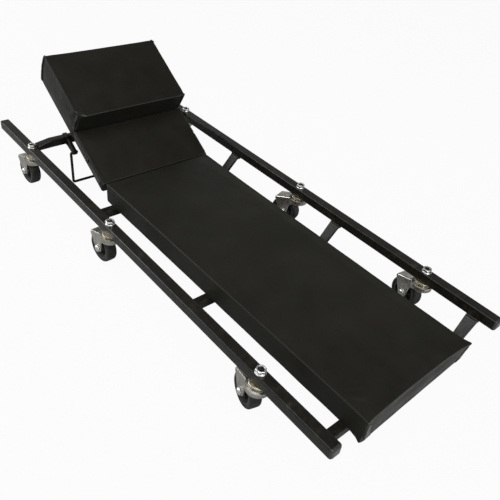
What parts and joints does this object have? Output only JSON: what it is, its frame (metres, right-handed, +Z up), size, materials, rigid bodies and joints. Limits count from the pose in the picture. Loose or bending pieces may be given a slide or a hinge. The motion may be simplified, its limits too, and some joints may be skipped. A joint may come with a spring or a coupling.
{
  "type": "mechanic creeper",
  "caption": "Low mechanic creeper: padded bed and hinged, raised headrest slung between tube rails that roll on swivel casters, for working under a vehicle.",
  "frame": {"origin": "on the floor under the middle of the rails", "axes": "+X along the rails towards the foot end, +Y across towards the right rail seen from the foot end looking at the head, +Z up"},
  "size_m": [1.016, 0.4273, 0.2578],
  "materials": {
    "black_frame": "semi-gloss black enamel over steel tube and strip",
    "black_plastic": "satin black moulded end plugs",
    "zinc": "bright zinc plate",
    "yellow_zinc": "yellow passivated zinc plate",
    "plywood": "raw plywood",
    "vinyl": "black fine-grained upholstery vinyl over foam",
    "bumper_rubber": "matt black rubber",
    "zinc_fork": "dull zinc plate",
    "zinc_axle": "bright zinc plate",
    "wheel_hub": "dark grey moulded plastic",
    "wheel_tyre": "black hard rubber"
  },
  "bodies": {
    "frame": {"left_rail": "black_frame", "right_rail": "black_frame", "rail_end_plugs": "black_plastic", "head_crossbar": "black_frame", "hinge_crossbar": "black_frame", "middle_crossbar": "black_frame", "foot_crossbar": "black_frame", "caster_stems": "zinc", "caster_raceways": "yellow_zinc", "stem_washers": "zinc", "stem_nuts": "zinc", "main_board": "plywood", "main_pad": "vinyl", "bed_bolts": "zinc", "hinge_leaves_main": "zinc", "hinge_pins": "zinc", "bail_clips": "black_frame", "rest_channels": "black_frame", "rest_bumpers": "bumper_rubber"},
    "headrest": {"headrest_board": "plywood", "back_pad": "vinyl", "pillow": "vinyl", "hinge_leaves_headrest": "zinc"},
    "bail": {"prop_bail": "black_frame"},
    "swivel_head_left": {"fork_head_left": "zinc_fork", "axle_head_left": "zinc_axle"},
    "wheel_head_left": {"hub_head_left": "wheel_hub", "tyre_head_left": "wheel_tyre"},
    "swivel_middle_left": {"fork_middle_left": "zinc_fork", "axle_middle_left": "zinc_axle"},
    "wheel_middle_left": {"hub_middle_left": "wheel_hub", "tyre_middle_left": "wheel_tyre"},
    "swivel_foot_left": {"fork_foot_left": "zinc_fork", "axle_foot_left": "zinc_axle"},
    "wheel_foot_left": {"hub_foot_left": "wheel_hub", "tyre_foot_left": "wheel_tyre"},
    "swivel_head_right": {"fork_head_right": "zinc_fork", "axle_head_right": "zinc_axle"},
    "wheel_head_right": {"hub_head_right": "wheel_hub", "tyre_head_right": "wheel_tyre"},
    "swivel_middle_right": {"fork_middle_right": "zinc_fork", "axle_middle_right": "zinc_axle"},
    "wheel_middle_right": {"hub_middle_right": "wheel_hub", "tyre_middle_right": "wheel_tyre"},
    "swivel_foot_right": {"fork_foot_right": "zinc_fork", "axle_foot_right": "zinc_axle"},
    "wheel_foot_right": {"hub_foot_right": "wheel_hub", "tyre_foot_right": "wheel_tyre"}
  },
  "joints": [
    {"name": "headrest_lift", "type": "hinge", "parent": "frame", "child": "headrest", "pos_m": [-0.187, 0, 0.0365], "axis": [0, 1, 0], "range_deg": [0, 12]},
    {"name": "bail_swing", "type": "hinge", "parent": "frame", "child": "bail", "pos_m": [-0.3275, 0, 0.07925], "axis": [0, -1, 0], "range_deg": [-90, 80]},
    {"name": "swivel_head_left", "type": "hinge", "parent": "frame", "child": "swivel_head_left", "pos_m": [-0.362, -0.1935, 0.068], "axis": [0, 0, 1], "continuous": true},
    {"name": "roll_head_left", "type": "hinge", "parent": "swivel_head_left", "child": "wheel_head_left", "pos_m": [-0.38697, -0.19481, 0.0295], "axis": [0.0523, -0.9986, 0], "continuous": true},
    {"name": "swivel_middle_left", "type": "hinge", "parent": "frame", "child": "swivel_middle_left", "pos_m": [-0.044, -0.1935, 0.068], "axis": [0, 0, 1], "continuous": true},
    {"name": "roll_middle_left", "type": "hinge", "parent": "swivel_middle_left", "child": "wheel_middle_left", "pos_m": [-0.06897, -0.19481, 0.0295], "axis": [0.0523, -0.9986, 0], "continuous": true},
    {"name": "swivel_foot_left", "type": "hinge", "parent": "frame", "child": "swivel_foot_left", "pos_m": [0.362, -0.1935, 0.068], "axis": [0, 0, 1], "continuous": true},
    {"name": "roll_foot_left", "type": "hinge", "parent": "swivel_foot_left", "child": "wheel_foot_left", "pos_m": [0.33785, -0.18703, 0.0295], "axis": [-0.2588, -0.9659, 0], "continuous": true},
    {"name": "swivel_head_right", "type": "hinge", "parent": "frame", "child": "swivel_head_right", "pos_m": [-0.362, 0.1935, 0.068], "axis": [0, 0, 1], "continuous": true},
    {"name": "roll_head_right", "type": "hinge", "parent": "swivel_head_right", "child": "wheel_head_right", "pos_m": [-0.387, 0.1935, 0.0295], "axis": [0, -1, 0], "continuous": true},
    {"name": "swivel_middle_right", "type": "hinge", "parent": "frame", "child": "swivel_middle_right", "pos_m": [0.044, 0.1935, 0.068], "axis": [0, 0, 1], "continuous": true},
    {"name": "roll_middle_right", "type": "hinge", "parent": "swivel_middle_right", "child": "wheel_middle_right", "pos_m": [0.01997, 0.18661, 0.0295], "axis": [0.2756, -0.9613, 0], "continuous": true},
    {"name": "swivel_foot_right", "type": "hinge", "parent": "frame", "child": "swivel_foot_right", "pos_m": [0.362, 0.1935, 0.068], "axis": [0, 0, 1], "continuous": true},
    {"name": "roll_foot_right", "type": "hinge", "parent": "swivel_foot_right", "child": "wheel_foot_right", "pos_m": [0.33724, 0.19698, 0.0295], "axis": [-0.1392, -0.9903, 0], "continuous": true}
  ]
}
